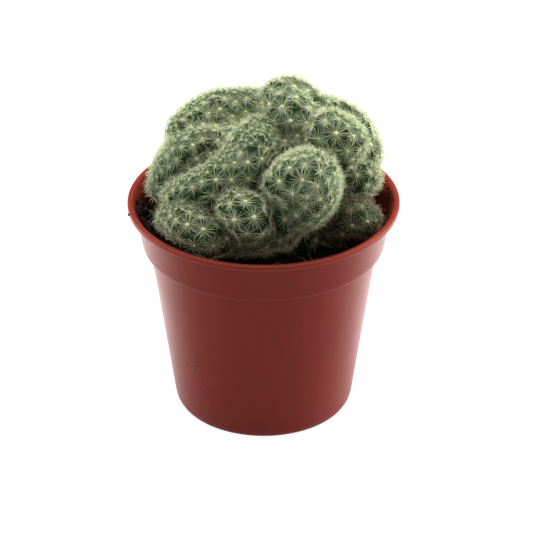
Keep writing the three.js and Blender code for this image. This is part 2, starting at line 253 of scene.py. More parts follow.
def settled(thing, smooth_angle=None):
    """Turns an object with live modifiers into one with a plain mesh."""
    graph = bpy.context.evaluated_depsgraph_get()
    mesh = bpy.data.meshes.new_from_object(thing.evaluated_get(graph))
    name = thing.name
    materials = list(thing.data.materials)
    bpy.data.objects.remove(thing)
    mesh.materials.clear()
    for material in materials:
        mesh.materials.append(material)
    return new_object(name, mesh, smooth_angle)


pot_blank = new_object("pot_shell", turned_mesh("pot_shell", rounded_section(pot_corners), pot_segments))
drain_count = 5
drain_circle = 14.5 * mm
drain_radius = 3.2 * mm
floor_under = 1.6 * mm
drill_length = 8 * mm
drills = bmesh.new()
for k in range(drain_count):
    angle = 2 * math.pi * k / drain_count
    place = Matrix.Translation((drain_circle * math.cos(angle), drain_circle * math.sin(angle), floor_under))
    bmesh.ops.create_cone(drills, cap_ends=True, segments=40, radius1=drain_radius, radius2=drain_radius,
                          depth=drill_length, matrix=place)
drill_mesh = bpy.data.meshes.new("drills")
drills.to_mesh(drill_mesh)
drills.free()
drill_object = new_object("drills", drill_mesh)
cut = pot_blank.modifiers.new("drain holes", "BOOLEAN")
cut.operation = "DIFFERENCE"
cut.object = drill_object
pot_shell = settled(pot_blank, 35)
bpy.data.objects.remove(drill_object)


def limited(share):
    """A share kept between 0 and 1."""
    return min(max(share, 0), 1)


# Painted shade: the wall's colour is darkened on the inside, most just above the soil, and a
# painted shadow darkens the top of the lip at the front, where the plant shades it. And a painted
# glow: the lip's outer face is painted lighter, as if light from the lip's top shone through the thin
# plastic.
inner_shade_height = 67.5 * mm
inner_shade_fade = 4.0 * mm
inner_shade_side = 0.3
lip_top = 71.2 * mm
top_side = 0.6
front_start = 0.6
front_fade = 0.25
painted_glow_start = 69.3 * mm
painted_glow_gain = 1.6
stain = []
painted_glow = []
for vert in pot_shell.data.vertices:
    reach = max(math.hypot(vert.co.x, vert.co.y), mm)
    outward = (vert.normal.x * vert.co.x + vert.normal.y * vert.co.y) / reach
    # Painted shade on the inner wall, just above the soil
    inner_shade = limited(1 - (vert.co.z - inner_shade_height) / inner_shade_fade) if -outward > inner_shade_side else 0.0
    front = limited((-vert.co.y / reach - front_start) / front_fade)
    # Painted shadow of the plant on the top of the lip at the front
    lip_top_shadow = front if vert.normal.z > top_side and vert.co.z > lip_top else 0.0
    stain.append(max(inner_shade, lip_top_shadow))
    # Painted glow: the lip's outer face is painted lighter, as if light shone through it
    painted_glow.append(limited(outward * painted_glow_gain) if vert.co.z > painted_glow_start else 0.0)
pot_shell.data.attributes.new("stain", "FLOAT", "POINT").data.foreach_set("value", stain)
pot_shell.data.attributes.new("shining_through", "FLOAT", "POINT").data.foreach_set("value", painted_glow)


def noise(tree, place, scale, detail, roughness=0.5, output="Fac"):
    """A noise of the given scale."""
    inputs = {"Vector": place, "Scale": scale, "Detail": detail, "Roughness": roughness}
    return add_node(tree, "ShaderNodeTexNoise", inputs).outputs[output]


def mixed(tree, factor, first, second, blend_type="MIX"):
    """A colour that goes from the first to the second by a factor; each is a value or a socket."""
    mix = add_node(tree, "ShaderNodeMix", {"Factor": factor, "A": first, "B": second},
                   data_type="RGBA", blend_type=blend_type)
    return mix.outputs["Result"]


def maths(tree, operation, *terms):
    """The result of an operation on its terms; each is a value or a socket."""
    return add_node(tree, "ShaderNodeMath", dict(enumerate(terms)), operation=operation).outputs[0]


def read(tree, name):
    """The value that the mesh's points hold under a name."""
    return add_node(tree, "ShaderNodeAttribute", attribute_name=name).outputs["Fac"]


terracotta, tree, shader, place = new_material("terracotta plastic", 0.38)
cloudy = noise(tree, place, 45.0, 5.0, 0.6)
stretched = add_node(tree, "ShaderNodeMapping", {"Vector": place, "Scale": (1.0, 1.0, 0.06)})
flow = noise(tree, stretched.outputs["Vector"], 420.0, 2.0)
base = mixed(tree, cloudy, (0.225, 0.024, 0.013, 1), (0.275, 0.031, 0.018, 1))
streaked = mixed(tree, flow, base, (0.88, 0.84, 0.82, 1), "MULTIPLY")

# Specks of soil dried on low down at the front left: turn about Z in degrees, height, radius
soil_specks = [
    (-140, 23.0, 0.42), (-138, 22.6, 0.24), (-132, 24.5, 0.36), (-133, 22.8, 0.28), (-146, 18.3, 0.26),
    (-131, 16.1, 0.36), (-130.3, 14.5, 0.34), (-127.5, 14.2, 0.30), (-123, 16.3, 0.28), (-128, 19.4, 0.22),
]
fray = 0.6 * mm
ragged = noise(tree, place, 1500.0, 2.0, output="Color")
fraying = add_node(tree, "ShaderNodeVectorMath", {0: ragged, 1: (fray,) * 3}, operation="MULTIPLY")
frayed = add_node(tree, "ShaderNodeVectorMath", {0: place, 1: fraying.outputs["Vector"]})
frayed_place = frayed.outputs["Vector"]
specks = 0.0
for turn, height, radius in soil_specks:
    wall = wall_radius(height, body_foot, body_top)
    angle = math.radians(turn)
    middle = Vector((wall * math.cos(angle), wall * math.sin(angle), height)) * mm + Vector((fray / 2,) * 3)
    away = add_node(tree, "ShaderNodeVectorMath", {0: frayed_place, 1: middle}, operation="DISTANCE")
    specks = maths(tree, "MAXIMUM", maths(tree, "LESS_THAN", away.outputs["Value"], radius * mm), specks)
specked = mixed(tree, specks, streaked, (0.050, 0.004, 0.003, 1))
blotches = maths(tree, "MULTIPLY_ADD", cloudy, 0.5, 0.6)
# The painted shade and shadow darken the colour in blotches
painted_shade_amount = maths(tree, "MULTIPLY", read(tree, "stain"), blotches)
shaded_colour = mixed(tree, painted_shade_amount, specked, (0.065, 0.011, 0.011, 1))
# Painted glow: a lighter colour on the lip's outer face stands in for light through the plastic
painted_lit_lip = mixed(tree, read(tree, "shining_through"), shaded_colour, (0.29, 0.040, 0.021, 1))
tree.links.new(painted_lit_lip, shader.inputs["Base Color"])
sheen = add_node(tree, "ShaderNodeMapRange", {"Value": cloudy, "To Min": 0.34, "To Max": 0.48})
tree.links.new(sheen.outputs["Result"], shader.inputs["Roughness"])
ripple = add_node(tree, "ShaderNodeBump", {"Strength": 0.12, "Distance": 0.2 * mm, "Height": flow})
tree.links.new(ripple.outputs["Normal"], shader.inputs["Normal"])
# Where the shade is painted, the shine is turned down too
shine = add_node(tree, "ShaderNodeMapRange", {"Value": painted_shade_amount, "To Min": 0.13, "To Max": 0.03})
tree.links.new(shine.outputs["Result"], shader.inputs["Specular IOR Level"])
pot_shell.data.materials.append(terracotta)
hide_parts("pot")
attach(pot_shell, "root")

# The soil: black-brown peat, filled to below the rim and heaped towards the
# stem, with loose crumbs, pale root fibres and a few grains of grit on it.
soil_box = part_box("soil")
soil_level = 61.5 * mm
soil_edge = soil_box[1].x
stem_radius = 20.5 * mm
hole_edge = stem_radius + 0.3 * mm
top_rings = 46
spokes = 220
rng = np.random.default_rng(11)


def rough(x, y):
    """Height of the peat's uneven top, in metres."""
    u = x / mm
    v = y / mm
    waves = np.sin(0.55 * u + 0.3 * v) * np.cos(0.5 * v - 0.2 * u)
    lumps = np.sin(1.9 * u + 0.6 * v) * np.cos(1.7 * v - 0.8 * u)
    grains = np.sin(5.1 * u - 3.7 * v) * np.sin(4.3 * v + 2.9 * u)
    return (0.5 * waves + 0.3 * lumps + 0.18 * grains) * mm


def spoke_ring(radius, height):
    """Points round the axis, one on each spoke."""
    turns = [2 * math.pi * spoke / spokes for spoke in range(spokes)]
    return [(radius * math.cos(turn), radius * math.sin(turn), height) for turn in turns]


def band(first, second):
    """Faces between two rings, each given by its first point."""
    steps = [(k, (k + 1) % spokes) for k in range(spokes)]
    return [(first + k, first + after, second + after, second + k) for k, after in steps]


# The top runs out from the hole in rings, then the outside goes down to the floor of the
# pot, and the hole goes down from the first ring; each ring is a radius and a height
outer_rings = [(36.4, 58.5), (34.2, 57.3), (26.4, 5.6), (24.0, 2.95)]
hole_rings = [(20.8, 58.2), (12.3, 46.7)]
soil_points = []
for ring in range(top_rings + 1):
    radius = hole_edge + (soil_edge - hole_edge) * ring / top_rings
    soil_points += [(x, y, z + float(rough(x, y))) for x, y, z in spoke_ring(radius, soil_level)]
for radius, height in outer_rings + hole_rings:
    soil_points += spoke_ring(radius * mm, height * mm)
bottom = (top_rings + len(outer_rings)) * spokes
hole = bottom + spokes
hole_end = hole + spokes
soil_faces = []
for first in range(0, bottom, spokes):
    soil_faces += band(first, first + spokes)
soil_faces.append(tuple(range(bottom, bottom + spokes)))
soil_faces += band(0, hole)
soil_faces += band(hole, hole_end)
soil_faces.append(tuple(range(hole_end, hole_end + spokes)))
peat_mesh = bpy.data.meshes.new("peat")
peat_mesh.from_pydata(soil_points, [], soil_faces)
turn_outward(peat_mesh)
peat = new_object("peat", peat_mesh, 60)

peat_brown, tree, shader, place = new_material("peat", 0.95)
mottle = noise(tree, place, 700.0, 6.0, 0.7)
shades = add_node(tree, "ShaderNodeValToRGB", {"Fac": mottle})
shades.color_ramp.elements[0].position = 0.35
shades.color_ramp.elements[0].color = (0.004, 0.003, 0.003, 1)
shades.color_ramp.elements[1].position = 0.72
shades.color_ramp.elements[1].color = (0.035, 0.024, 0.017, 1)
tree.links.new(shades.outputs["Color"], shader.inputs["Base Color"])
lumpy = add_node(tree, "ShaderNodeBump", {"Strength": 0.8, "Distance": 0.6 * mm, "Height": mottle})
tree.links.new(lumpy.outputs["Normal"], shader.inputs["Normal"])
shader.inputs["Specular IOR Level"].default_value = 0.1
peat_mesh.materials.append(peat_brown)
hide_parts("soil")
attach(peat, "root")

# The peat's crumbs: soft clots of the same peat, most of them loose on its top,
# some stuck to the lip, and on the left a heap of them against the wall.


def lump_mesh(name, seed, roughness):
    """A small uneven lump, about 1 across."""
    work = bmesh.new()
    bmesh.ops.create_icosphere(work, subdivisions=1, radius=0.5)
    draw = np.random.default_rng(seed)
    stretch = 0.7 + 0.6 * draw.random(3)
    for vert in work.verts:
        swell = 1 + roughness * (draw.random() - 0.5)
        vert.co = Vector([c * s * swell for c, s in zip(vert.co, stretch)])
    mesh = bpy.data.meshes.new(name)
    work.to_mesh(mesh)
    work.free()
    return mesh


def start_tree(name, sockets):
    """A Geometry Nodes tree with its named inputs, and its nodes for what goes in and out."""
    tree = bpy.data.node_groups.new(name, "GeometryNodeTree")
    for socket, kind in [("Geometry", "Geometry")] + sockets:
        tree.interface.new_socket(socket, in_out="INPUT", socket_type="NodeSocket" + kind)
    tree.interface.new_socket("Geometry", in_out="OUTPUT", socket_type="NodeSocketGeometry")
    return tree, tree.nodes.new("NodeGroupInput"), tree.nodes.new("NodeGroupOutput")


def end_tree(tree, geometry, inputs, outputs):
    """Ends a tree with real geometry, painted with its material."""
    real = add_node(tree, "GeometryNodeRealizeInstances", {"Geometry": geometry})
    painted = add_node(tree, "GeometryNodeSetMaterial", {"Geometry": real.outputs["Geometry"],
                                                         "Material": inputs.outputs["Material"]})
    tree.links.new(painted.outputs["Geometry"], outputs.inputs["Geometry"])


def grow(thing, tree, values):
    """Gives an object a live tree, with the tree's inputs set by their identifiers."""
    modifier = thing.modifiers.new(tree.name, "NODES")
    modifier.node_group = tree
    for socket in tree.interface.items_tree:
        if socket.in_out == "INPUT" and socket.name in values:
            modifier[socket.identifier] = values[socket.name]


def scatter_tree():
    """Geometry Nodes: sets a small piece on every point, turned to its facing and sized by its size."""
    tree, inputs, outputs = start_tree("set pieces on points", [
        ("Piece", "Object"), ("Piece size", "Float"), ("Spin seed", "Int"), ("Material", "Material")])
    piece = add_node(tree, "GeometryNodeObjectInfo", {"Object": inputs.outputs["Piece"]})
    facing = add_node(tree, "GeometryNodeInputNamedAttribute", {"Name": "facing"}, data_type="FLOAT_VECTOR")
    size = add_node(tree, "GeometryNodeInputNamedAttribute", {"Name": "size"}, data_type="FLOAT")
    aligned = add_node(tree, "FunctionNodeAlignRotationToVector", {"Vector": facing.outputs["Attribute"]},
                       axis="Z")
    spin = add_node(tree, "FunctionNodeRandomValue", {"Seed": inputs.outputs["Spin seed"]}, data_type="FLOAT")
    around = [socket for socket in spin.inputs if socket.name == "Max" and socket.type == "VALUE"][0]
    around.default_value = 2 * math.pi
    turn = add_node(tree, "FunctionNodeAxisAngleToRotation", {"Axis": (0, 0, 1)})
    drawn = [socket for socket in spin.outputs if socket.type == "VALUE"][0]
    tree.links.new(drawn, turn.inputs["Angle"])
    spun = add_node(tree, "FunctionNodeRotateRotation", {"Rotation": aligned.outputs["Rotation"],
                                                         "Rotate By": turn.outputs["Rotation"]},
                    rotation_space="LOCAL")
    scale = maths(tree, "MULTIPLY", size.outputs["Attribute"], inputs.outputs["Piece size"])
    placed = add_node(tree, "GeometryNodeInstanceOnPoints", {
        "Points": inputs.outputs["Geometry"], "Instance": piece.outputs["Geometry"],
        "Rotation": spun.outputs["Rotation"], "Scale": scale})
    end_tree(tree, placed.outputs["Instances"], inputs, outputs)
    return tree


set_pieces = scatter_tree()
first_spin_seed = 5


def joined(name, meshes):
    """One mesh made of several."""
    work = bmesh.new()
    for mesh in meshes:
        work.from_mesh(mesh)
    whole = bpy.data.meshes.new(name)
    work.to_mesh(whole)
    work.free()
    return whole


def set_on_points(name, points, facings, sizes, piece_meshes, material, ages_and_shade=None):
    """One mesh of small pieces on points, drawn in turn from a few like pieces."""
    point_values = {"size": sizes} if ages_and_shade is None else {"size": sizes, "age": ages_and_shade}
    parts = []
    for variant, piece_mesh in enumerate(piece_meshes):
        chosen = np.arange(variant, len(points), len(piece_meshes))
        cloud = bpy.data.meshes.new("points")
        cloud.from_pydata([tuple(points[k]) for k in chosen], [], [])
        facing = cloud.attributes.new("facing", "FLOAT_VECTOR", "POINT")
        facing.data.foreach_set("vector", facings[chosen].ravel())
        for key, values in point_values.items():
            cloud.attributes.new(key, "FLOAT", "POINT").data.foreach_set("value", values[chosen])
        holder = new_object("points", cloud)
        piece = new_object("piece", piece_mesh)
        grow(holder, set_pieces, {"Piece": piece, "Piece size": mm, "Spin seed": first_spin_seed + variant,
                                  "Material": material})
        graph = bpy.context.evaluated_depsgraph_get()
        parts.append(bpy.data.meshes.new_from_object(holder.evaluated_get(graph)))
        bpy.data.objects.remove(holder)
        bpy.data.objects.remove(piece)
    mesh = joined(name, parts)
    mesh.materials.append(material)
    mesh.shade_smooth()
    return new_object(name, mesh)


def around_axis(radius, turn, height):
    """Points at a radius from the pot's axis, a turn about it and a height."""
    return np.stack([radius * np.cos(turn), radius * np.sin(turn), height], 1)


def drawn_on_peat(count, inner, outer, lift):
    """Points drawn at random on the peat's top between two radii, lifted a little out of it."""
    radius = np.sqrt(rng.uniform(inner ** 2, outer ** 2, count))
    points = around_axis(radius, rng.uniform(0, 2 * math.pi, count), np.zeros(count))
    points[:, 2] = soil_level + rough(points[:, 0], points[:, 1]) + lift
    return points


crumb_count = 1500
crumb_least = 0.5
crumb_spread = 1.9
crumb_points = drawn_on_peat(crumb_count, stem_radius - 1 * mm, soil_edge - 0.4 * mm, 0.1 * mm)
crumb_size = crumb_least + crumb_spread * rng.random(crumb_count) ** 3

# A few crumbs stick to the inner edge of the lip on the right, and one to its outside on the left
stuck_count = 16
stuck_sunk = 0.1
stuck_outside = (-41.6, -8.8, 70.6)
stuck_outside_size = 1.1
stuck_turn = np.radians(rng.normal(7.0, 3.5, stuck_count))
stuck_height = rng.uniform(69.0, 71.2, stuck_count)
stuck_radius = wall_radius(stuck_height, lip_under, lip_inside) - stuck_sunk
stuck_points = np.vstack([around_axis(stuck_radius, stuck_turn, stuck_height), [stuck_outside]]) * mm
stuck_size = np.append(rng.uniform(0.4, 1.2, stuck_count), stuck_outside_size)

# On the left the peat is heaped up against the wall, as high as the lip
heap_count = 700
heap_foot = 60.5
heap_rise = 10.0
heap_depth = 2.4
heap_gap = 0.2
heap_turn = np.radians(rng.uniform(179, 236, heap_count))
heap_height = heap_foot + heap_rise * rng.random(heap_count)
heap_radius = wall_radius(heap_height, collar_inside, lip_under) - heap_gap
heap_radius -= heap_depth * rng.random(heap_count) ** 2
heap_points = around_axis(heap_radius, heap_turn, heap_height) * mm
heap_size = rng.uniform(0.8, 2.4, heap_count)
crumb_points = np.vstack([crumb_points, stuck_points, heap_points])
crumb_size = np.concatenate([crumb_size, stuck_size, heap_size])
crumb_facing = rng.normal(size=(len(crumb_points), 3))
crumbs = set_on_points("peat_crumbs", crumb_points, crumb_facing, crumb_size,
                       [lump_mesh("crumb", seed, 0.7) for seed in range(4)], peat_brown)
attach(crumbs, "root")

# The grit: a few dull, pale grains of coarse sand that were mixed into the peat
# and lie half sunk between its crumbs.
grit_white, tree, shader, place = new_material("grit", 0.7)
dull = noise(tree, place, 900.0, 3.0)
tree.links.new(mixed(tree, dull, (0.10, 0.085, 0.07, 1), (0.38, 0.34, 0.28, 1)), shader.inputs["Base Color"])
grit_count = 90
first_grain = 10
grit_points = drawn_on_peat(grit_count, stem_radius + 2 * mm, soil_edge - 0.6 * mm, 0.35 * mm)
grit_facing = rng.normal(size=(grit_count, 3))
grit_size = rng.uniform(0.35, 0.9, grit_count)
grit = set_on_points("grit", grit_points, grit_facing, grit_size,
                     [lump_mesh("grain", first_grain + seed, 0.4) for seed in range(2)], grit_white)
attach(grit, "root")

# The root fibres: thin, dry, tan threads in the peat, which lie in loose curves on
# its top, and some of them on the heap at the left.


def fibre_tree():
    """Geometry Nodes: turns lines into thin round fibres."""
    sockets = [("Fibre radius", "Float"), ("Material", "Material")]
    tree, inputs, outputs = start_tree("fibres along lines", sockets)
    curves = add_node(tree, "GeometryNodeMeshToCurve", {"Mesh": inputs.outputs["Geometry"]})
    section = add_node(tree, "GeometryNodeCurvePrimitiveCircle", {"Resolution": 5,
                                                                  "Radius": inputs.outputs["Fibre radius"]})
    tube = add_node(tree, "GeometryNodeCurveToMesh", {
        "Curve": curves.outputs["Curve"], "Profile Curve": section.outputs["Curve"], "Fill Caps": True})
    end_tree(tree, tube.outputs["Mesh"], inputs, outputs)
    return tree


fibre_tan, tree, shader, place = new_material("root fibre", 0.8)
dirt = noise(tree, place, 500.0, 2.0)
tree.links.new(mixed(tree, dirt, (0.09, 0.065, 0.045, 1), (0.50, 0.43, 0.33, 1)), shader.inputs["Base Color"])
fibre_count = 90
heaped_fibres = 16
fibre_steps = 7
fibre_step = 1.1 * mm
fibre_radius = 0.11 * mm
fibre_lift = 0.25 * mm
fibre_arch = 0.9 * mm
fibre_bend = 0.25
fibre_points = []
fibre_edges = []
for fibre in range(fibre_count):
    start = rng.uniform(0, 2 * math.pi)
    radius = rng.uniform(27.0, 37.0) * mm
    rise = 0.0
    if fibre < heaped_fibres:
        start = math.radians(rng.uniform(176, 212))
        radius = rng.uniform(36.0, 37.5) * mm
        rise = rng.uniform(3.0, 7.0) * mm
    x = radius * math.cos(start)
    y = radius * math.sin(start)
    heading = rng.uniform(0, 2 * math.pi)
    bend = rng.normal(0, fibre_bend)
    for step in range(fibre_steps):
        arch = fibre_arch * math.sin(math.pi * step / (fibre_steps - 1))
        fibre_points.append((x, y, soil_level + float(rough(x, y)) + fibre_lift + arch + rise))
        if step > 0:
            fibre_edges.append((len(fibre_points) - 2, len(fibre_points) - 1))
        heading += bend + rng.normal(0, fibre_bend)
        x += fibre_step * math.cos(heading)
        y += fibre_step * math.sin(heading)
        over = math.hypot(x, y) / (soil_edge - 0.4 * mm)
        if over > 1:
            x /= over
            y /= over
fibre_lines = bpy.data.meshes.new("fibres")
fibre_lines.from_pydata(fibre_points, fibre_edges, [])
fibres = new_object("root_fibres", fibre_lines)
grow(fibres, fibre_tree(), {"Fibre radius": fibre_radius, "Material": fibre_tan})
fibre_lines.materials.append(fibre_tan)
fibres = settled(fibres)
fibres.data.shade_smooth()
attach(fibres, "root")

# The plant: a brain cactus, one crested plant whose growing edge has folded
# into fat rounded lobes. Its skin is dark green, raised into small tubercles,
# each tipped with a woolly areole and a flat star of pale spines.
heart = np.array([0.0, 0.0, 68.0])
# The folds stand out from the heart, and towards it each is this many times deeper
keel = 2.3
# Points along the middle of each fold, and its radius there, in millimetres
folds = {
    "left_back": [(-24, 4, 93, 5.6), (-17, 11, 95.5, 6), (-10, 13, 96, 6), (-3.5, 13, 96.5, 5.8)],
    "left": [(-31, -3, 78, 4.5), (-28.5, -3, 83.5, 5.2), (-24, -3, 89, 5.8), (-16.5, -3.5, 92, 5.4)],
    "middle_low": [(-26.5, -12.5, 79, 4.3), (-19, -14.5, 83.5, 5), (-10.5, -13, 87.5, 6.2),
                   (-5.5, -10, 91, 6.8)],
    "middle_high": [(-7, -11, 90, 6.6), (-3, -6.5, 94, 6.6), (-1.5, -3, 95.5, 5.2)],
    "top": [(4.5, 9, 101.8, 5.4), (9, 11, 101.3, 5.8), (15.5, 8, 98.8, 4.8)],
    "top_front": [(7.5, 4, 99.5, 6.8), (11, 2, 97.8, 6.3)],
    "right_back": [(20, 9, 96, 5.4), (26.5, 8, 92, 6.2), (30.5, 3, 86, 6)],
    "right_inner": [(20.4, -4.6, 97.4, 6.2), (25.2, -6.8, 95, 6)],
    "front_right": [(6, -19, 86, 5.8), (9.5, -21, 89.4, 7.8), (15, -20, 89.8, 7.9), (14.3, -20.5, 82.5, 7),
                    (8.5, -20, 77, 5.8)],
    "front_right_foot": [(7.5, -17, 78, 5.3), (13.5, -16, 77.5, 4.8)],
    "right": [(30.5, -5, 82, 4.8), (31.5, -3, 80.5, 4.4)],
    "right_foot": [(20, -8, 72.5, 6), (28.5, -11.4, 72, 5.4), (31, -12.2, 70.6, 4.8)],
    "front_left": [(-27, -18, 74, 5.1), (-22.5, -22, 73.5, 6.1), (-17, -25, 71.5, 5.3)],
    "front_middle": [(-8, -23.5, 81, 5.5), (-5.5, -25, 80, 6.1), (-4.5, -24.5, 77, 5.6)],
    "front_foot": [(-12.5, -24, 70, 3.4), (-3.5, -23.5, 70, 4), (6, -21, 70.5, 4)],
    "back_left_low": [(-29, 8, 74, 5.3), (-27, 16, 77, 5.8), (-20, 24, 80, 5.8)],
    "back": [(-9, 26, 84, 5.8), (4, 28, 85, 6.3)],
    "back_right": [(17, 24, 84, 5.8), (26, 16, 80, 5.8), (31, 6, 76, 5)],
    "back_middle": [(-14, 15, 88, 5.8), (0, 18, 92, 5.8), (12, 18, 93, 5.8)],
    "back_foot": [(-18, 23, 70, 5), (0, 29.5, 73, 5.5), (19, 23, 71, 5)],
    "core": [(-7, 3, 80, 16), (8, 3, 81, 16)],
}
# The way the growing edge faces on a fold that has it on its ridge
crest_facing = {
    "left_back": (-0.2, 0.3, 0.9), "middle_low": (-0.3, -0.1, 0.9), "middle_high": (0.1, -0.4, 0.9),
    "top": (0.0, 0.7, 0.7), "top_front": (0.0, 0.7, 0.7), "right_back": (0.7, 0.4, 0.6),
    "front_right_foot": (0.6, 0.2, -0.3), "front_foot": (0.0, -0.5, -0.5),
}
# On a lobe that has the growing edge round its rim: the way its flat side faces, and the rim's middle
side_facing = {
    "left": ((0.3, -0.8, 0.35), (-0.2, 0, 0.9)), "right_inner": ((-0.3, -0.85, 0.4), (0.7, 0, 0.7)),
    "front_right": ((-0.2, -0.9, 0.2), (0.5, 0.1, 0.85)), "right": ((-0.3, -0.9, 0.25), (0.7, 0.2, 0.7)),
    "right_foot": ((-0.3, -0.9, 0.1), (0.8, 0.2, 0.5)), "front_left": ((0.3, -0.9, 0.1), (-0.9, 0, 0.4)),
    "front_middle": ((0.25, -0.9, 0.1), (-0.7, 0, 0.7)),
}
# How fast the stars widen away from the growing edge, where it isn't at the usual rate
widening = {
    "front_left": 1.5, "front_middle": 1.5, "front_right": 0.72, "middle_high": 0.5, "left_back": 0.75,
    "left": 0.85,
}


def smooth_line(points, steps):
    """Points on a smooth line through a fold's own points, with the radius there."""
    points = np.asarray(points, float)
    padded = np.vstack([2 * points[0] - points[1], points, 2 * points[-1] - points[-2]])
    line = []
    for k in range(1, len(padded) - 2):
        a, b, c, d = padded[k - 1], padded[k], padded[k + 1], padded[k + 2]
        for t in np.linspace(0, 1, steps, endpoint=False):
            line.append(0.5 * (2 * b + (c - a) * t + (2 * a - 5 * b + 4 * c - d) * t ** 2
                               + (3 * b - a - 3 * c + d) * t ** 3))
    line.append(points[-1])
    return np.array(line)


def unit(vector):
    """A vector made 1 long."""
    return vector / np.linalg.norm(vector)


def fold_frames(points, steps=5):
    """Centre, direction, crest side, other side and radius at steps along a fold."""
    line = smooth_line(points, steps)
    frames = []
    for k, (x, y, z, radius) in enumerate(line):
        centre = np.array([x, y, z])
        along = unit(line[min(k + 1, len(line) - 1), :3] - line[max(k - 1, 0), :3])
        crest = centre - heart
        crest = unit(crest - crest.dot(along) * along)
        frames.append((centre, along, crest, np.cross(along, crest), radius))
    return frames


def add_fold(work, frames, around=28, cap_rings=7):
    """Adds a fold's closed skin, a fat sausage with a keel towards the heart, to a bmesh."""
    stations = [(frames[0], -math.pi / 2 * (1 - k / cap_rings)) for k in range(1, cap_rings)]
    stations += [(frame, 0.0) for frame in frames]
    stations += [(frames[-1], math.pi / 2 * k / cap_rings) for k in range(1, cap_rings)]
    rings = []
    for (centre, along, crest, side, radius), tilt in stations:
        ring = []
        for k in range(around):
            angle = 2 * math.pi * k / around
            out = math.cos(angle) * (keel if math.cos(angle) < 0 else 1.0)
            point = centre + radius * (math.cos(tilt) * (out * crest + math.sin(angle) * side)
                                       + math.sin(tilt) * along)
            ring.append(work.verts.new(Vector(point * mm)))
        rings.append(ring)
    for lower, upper in zip(rings, rings[1:]):
        for k in range(around):
            after = (k + 1) % around
            work.faces.new((lower[k], lower[after], upper[after], upper[k]))
    for ring, (centre, along, _, _, radius), way in ((rings[0], frames[0], -1), (rings[-1], frames[-1], 1)):
        pole = work.verts.new(Vector((centre + way * radius * along) * mm))
        for k in range(around):
            work.faces.new((ring[k], ring[(k + 1) % around], pole))


all_frames = {name: fold_frames(points) for name, points in folds.items()}
rough_plant = bmesh.new()
for frames in all_frames.values():
    add_fold(rough_plant, frames)
folds_mesh = bpy.data.meshes.new("folds")
rough_plant.to_mesh(folds_mesh)
rough_plant.free()
turn_outward(folds_mesh)
# Radius and height of the corners of the stem, which stands in the hole in the soil
stem_outline = [(0, 47), (12, 47), (20.5, 58.5), (20.5, 67.5), (10, 71.5), (0, 71.5)]
stem_mesh = turned_mesh("stem", [(r * mm, z * mm) for r, z in stem_outline], 64)
skin = new_object("cactus_skin", joined("cactus_skin", [folds_mesh, stem_mesh]))
blend = skin.modifiers.new("grown together", "REMESH")
blend.mode = "VOXEL"
blend.voxel_size = 0.7 * mm
skin = settled(skin)


def mesh_arrays(mesh):
    """A mesh's points, normals and edges as arrays, in millimetres."""
    count = len(mesh.vertices)
    places = np.empty(count * 3)
    mesh.vertices.foreach_get("co", places)
    normals = np.empty(count * 3)
    mesh.vertices.foreach_get("normal", normals)
    edges = np.empty(len(mesh.edges) * 2, int)
    mesh.edges.foreach_get("vertices", edges)
    return places.reshape(-1, 3) / mm, normals.reshape(-1, 3), edges.reshape(-1, 2)


def set_places(mesh, places):
    """Moves a mesh's points to places in millimetres."""
    mesh.vertices.foreach_set("co", (places * mm).ravel())
    mesh.update()


def smoothed(values, edges, rounds, amount):
    """Values averaged along the edges a few times."""
    values = values.copy()
    degree = np.bincount(edges.ravel(), minlength=len(values)).astype(float)
    for _ in range(rounds):
        total = np.zeros_like(values)
        np.add.at(total, edges[:, 0], values[edges[:, 1]])
        np.add.at(total, edges[:, 1], values[edges[:, 0]])
        mean = total / (degree[:, None] if values.ndim > 1 else degree)
        values += amount * (mean - values)
    return values


places, normals, edges = mesh_arrays(skin.data)
places = smoothed(places, edges, 5, 0.5)
set_places(skin.data, places)
places, normals, edges = mesh_arrays(skin.data)
far_off = 1e9


def fold_distance(points, frames):
    """Points' distance to a fold's skin, with their offset from its line, its radius and its direction."""
    best = np.full(len(points), far_off)
    offset_out = np.zeros_like(points)
    radius_out = np.ones(len(points))
    along_out = np.zeros_like(points)
    for start, end in zip(frames, frames[1:]):
        step = end[0] - start[0]
        share = np.clip((points - start[0]) @ step / (step @ step), 0, 1)
        offset = points - start[0] - share[:, None] * step
        depth = offset @ start[2]
        squeezed = offset + np.where(depth < 0, depth / keel - depth, 0)[:, None] * start[2]
        radius = start[4] + (end[4] - start[4]) * share
        distance = np.linalg.norm(squeezed, axis=1) - radius
        closer = distance < best
        best[closer] = distance[closer]
        offset_out[closer] = offset[closer]
        radius_out[closer] = radius[closer]
        along_out[closer] = start[1]
    return best, offset_out, radius_out, along_out


